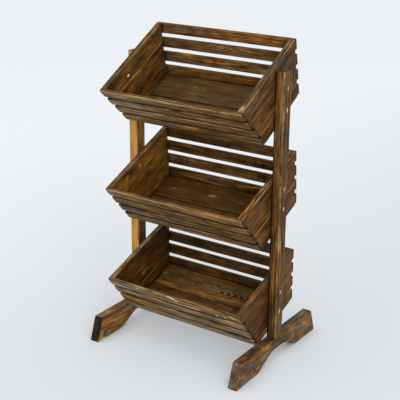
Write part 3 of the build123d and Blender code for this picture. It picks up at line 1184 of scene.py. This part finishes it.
def knotted(grain, colour, knots, shade):
    """The colour with the cores of the knots: dark, golden or pale, in bands."""
    core_edge = grain.noise((300, 300, 300)).about(0.3)
    for distance, kind in knots:
        inside = (distance + core_edge).spread(0.7, 1.05, 1.0, 0.0)
        bands = (distance * 3.3).math("FRACT")
        golden = bands.ramp(KNOT_GOLDEN).scale(shade)
        core = kind.math("GREATER_THAN", 0.5).mix(golden, bands.ramp(KNOT_DARK))
        core = kind.math("LESS_THAN", -0.5).mix(core, CHIP_WOOD)
        colour = (inside * 0.8).mix(colour, core)
    return colour


def rubbed_and_arris_lit(grain, colour, wear_and_painted_light, chips, grey):
    """The colour with painted shade at some arrises, abraded arrises with a painted highlight, and knocked
    off stain, and how abraded and highlighted each point is.
    """
    scuff = grain.noise((45, 140, 140), detail=3.0, roughness=0.6).about(0.9)
    worn = (wear_and_painted_light + scuff).spread(0.28, 0.72)
    # Painted shade: arrises whose amount is below 0 are darkened, for the gaps between slats and the
    # crevices beside posts and floors
    arris_shade = (wear_and_painted_light + scuff * 0.3).spread(-0.5, -0.12, 0.92, 0.0)
    flaked = (chips + scuff).spread(0.40, 0.60)
    colour = arris_shade.mix(colour, ARRIS_SHADE_TINT, "MULTIPLY")
    # Abraded arrises show paler wood, partly a painted highlight where an arris catches the light
    colour = (worn * 0.75).mix(colour, grey.mix(WORN_WOOD_AND_HIGHLIGHT, WEATHERED_WOOD_AND_HIGHLIGHT))
    return (flaked * 0.95).mix(colour, CHIP_WOOD), worn


def sawn_ends(cuts, grain, colour, late, fibre, blotch, worn):
    """The colour with the end grain of the saw cuts, unevenly stained."""
    cut, cut_grey, _ = cuts.split()
    level = fibre.about(0.5, 0.2) + blotch.about(1.2) + late * 0.3
    uneven = grain.noise((40, 55, 55)).spread(0.35, 0.65, 0.6, 1.45)
    end_grain = level.ramp(CUT_WOOD).scale(cut * uneven).saturate(cut_grey * -1.0 + 1.0)
    is_cut = cut.math("GREATER_THAN", 0.001)
    return (is_cut * worn.spread(0.2, 0.9, 1.0, 0.2)).mix(colour, end_grain)


def stained_wood(name):
    """Brushed softwood under a dark walnut stain: growth rings, fibres, knots, abraded arrises with a
    painted highlight, painted shade at some arrises, saw cuts.
    """
    finish = Finish(name)
    grain = finish.attribute("grain")
    shade, grey, lines = finish.attribute("tone").split()
    bare, warm, figure = finish.attribute("mood").split()
    wear_and_painted_light, chips, mottle = finish.attribute("state").split()
    rings, seed, knots = growth(finish, grain)
    phase = rings.math("FRACT")
    late = phase.spread(0.40, 0.80) - phase.spread(0.90, 1.0)
    fibre = grain.noise((16, 800, 800), detail=3.0)
    blotch = grain.noise((18, 40, 40), detail=4.0, roughness=0.6)

    varied = figured(grain, rings, seed, late, fibre, lines)
    level = varied * figure + MIDDLE_TONE + blotch.about(1.0) * mottle
    colour = stained(grain, level, shade, warm, bare)
    colour = weathered(grain, colour, grey)
    colour = knotted(grain, colour, knots, shade)
    colour, worn = rubbed_and_arris_lit(grain, colour, wear_and_painted_light, chips, grey)
    colour = sawn_ends(finish.attribute("cut"), grain, colour, late, fibre, blotch, worn)
    finish.set("Base Color", colour)
    finish.set("Roughness", fibre.about(0.25, 0.56) + worn * 0.12)
    finish.set("Specular IOR Level", 0.12)
    finish.set("Normal", (late * 0.5 + fibre * 0.8).bump(strength=0.6, distance=0.0004))
    return finish.material


def metal(name, tones, roughness):
    """Plated steel with a drawn or turned finish and duller patches."""
    finish = Finish(name)
    place = finish.place()
    cloud = place.noise((700, 700, 700), detail=3.0)
    scratch = place.noise((300, 4000, 4000))
    finish.set("Base Color", cloud.spread(0.35, 0.7).mix(*tones))
    finish.set("Metallic", 1.0)
    finish.set("Roughness", scratch.about(0.3, roughness))
    finish.set("Normal", scratch.bump(strength=0.3, distance=0.0001))
    return finish.material


def bare_wood(name):
    """Pale turned beech with short flecks, for the dowels."""
    finish = Finish(name)
    fleck = finish.place().noise((900, 900, 60), detail=3.0)
    finish.set("Base Color", fleck.ramp(BARE_WOOD))
    finish.set("Roughness", fleck.about(0.2, 0.6))
    finish.set("Normal", fleck.bump(strength=0.4, distance=0.0002))
    return finish.material


def backdrop_material():
    """Pale seamless paper with a painted gradient of light. To the eye, nearly half of it is its own even
    tone, darkened near the rack by a painted contact shadow.
    """
    finish = Finish("backdrop_paper")
    place = finish.place()
    depth = place.vector("DOT_PRODUCT", PAPER_LIGHTENS, output="Value")
    paper = depth.spread(*PAPER_REACH).mix(*PAPER_PAINTED_LIGHT_TONES)
    finish.set("Base Color", paper)
    finish.set("Roughness", 0.9)
    finish.set("Specular IOR Level", 0.05)
    rays = add_node(finish.tree, "ShaderNodeLightPath").outputs
    seen = Signal(rays["Is Camera Ray"])
    for kind in ("Is Glossy Ray", "Is Transmission Ray"):
        seen = seen.math("MAXIMUM", Signal(rays[kind]))
    # Painted contact shadow: the even tone is darkened where the rack closes in over the floor
    openness = finish.source("ShaderNodeAmbientOcclusion", "AO", {"Distance": CONTACT_REACH}, samples=8)
    even = finish.glow(paper, openness.math("POWER", CONTACT_POWER))
    surface = (seen * PAPER_EVEN).blend(Signal(finish.shader.outputs[0]), even)
    far = place.length().spread(*PAPER_FADE)
    surface = (seen * far).blend(surface, finish.glow(WHITE, STUDIO_LIGHT))
    feed(finish.tree.nodes["Material Output"].inputs["Surface"], surface)
    return finish.material


# The stage


def floor():
    mesh = bpy.data.meshes.new("floor")
    far = BACKDROP_REACH
    corners = [(-far, -far, 0), (far, -far, 0), (far, far, 0), (-far, far, 0)]
    mesh.from_pydata(corners, [], [(0, 1, 2, 3)])
    mesh.materials.append(backdrop_material())
    plane = put_in_scene("floor", mesh)


def softbox(name, place, size, power):
    lamp = bpy.data.lights.new(name, "AREA")
    lamp.shape = "SQUARE"
    lamp.size = size
    lamp.energy = power
    holder = put_in_scene(name, lamp)
    holder.location = place
    holder.rotation_euler = (Vector(LAMP_TARGET) - Vector(place)).to_track_quat("-Z", "Y").to_euler()


def world():
    surroundings = bpy.data.worlds.new("studio")
    surroundings.use_nodes = True
    background = surroundings.node_tree.nodes["Background"]
    background.inputs["Color"].default_value = WHITE
    background.inputs["Strength"].default_value = STUDIO_LIGHT
    bpy.context.scene.world = surroundings


def camera():
    yaw, pitch, roll = (math.radians(angle) for angle in (CAMERA_YAW, CAMERA_PITCH, CAMERA_ROLL))
    aim = Matrix.Rotation(yaw, 4, "Z") @ Matrix.Rotation(math.pi / 2 + pitch, 4, "X")
    lens = bpy.data.cameras.new("camera")
    lens.sensor_fit = "HORIZONTAL"
    lens.sensor_width = SENSOR
    lens.lens = CAMERA_FOCAL * SENSOR / FRAME_PIXELS
    holder = put_in_scene("camera", lens)
    holder.matrix_world = Matrix.Translation(CAMERA_PLACE) @ aim @ Matrix.Rotation(roll, 4, "Z")
    bpy.context.scene.camera = holder


# The rack

BOARD_SLOTS = {"foot": "foot_wood", "post": "post_wood"}

woods = {slot: stained_wood(slot) for slot in ("crate_wood", "post_wood", "foot_wood")}
for node, board in rack_boards().items():
    slot = BOARD_SLOTS.get(node.split("_")[-1], "crate_wood")
    board_piece(node, board, look_of(node), woods[slot])

screw_steel = metal("screw_steel", YELLOW_ZINC, roughness=0.45)
brad_steel = metal("brad_steel", DULL_STEEL, roughness=0.5)
for name, crate in CRATES.items():
    node = f"{name}_crate_screws"
    fixing_piece(node + "_turned", screw_shape(), screw_places(crate), screw_steel, node)
    node = f"{name}_crate_brads"
    places = [hung(crate) @ place for place in brad_places()]
    fixing_piece(node + "_drawn", brad_shape(), places, brad_steel, node)

dowels = frame["nodes"]["foot_dowels"]
dowels.data.materials.clear()
dowels.data.materials.append(bare_wood("dowel_wood"))

floor()
world()
for name, (place, size, power) in LAMPS.items():
    softbox(name, place, size, power)
camera()
bpy.context.scene.view_settings.view_transform = "Standard"
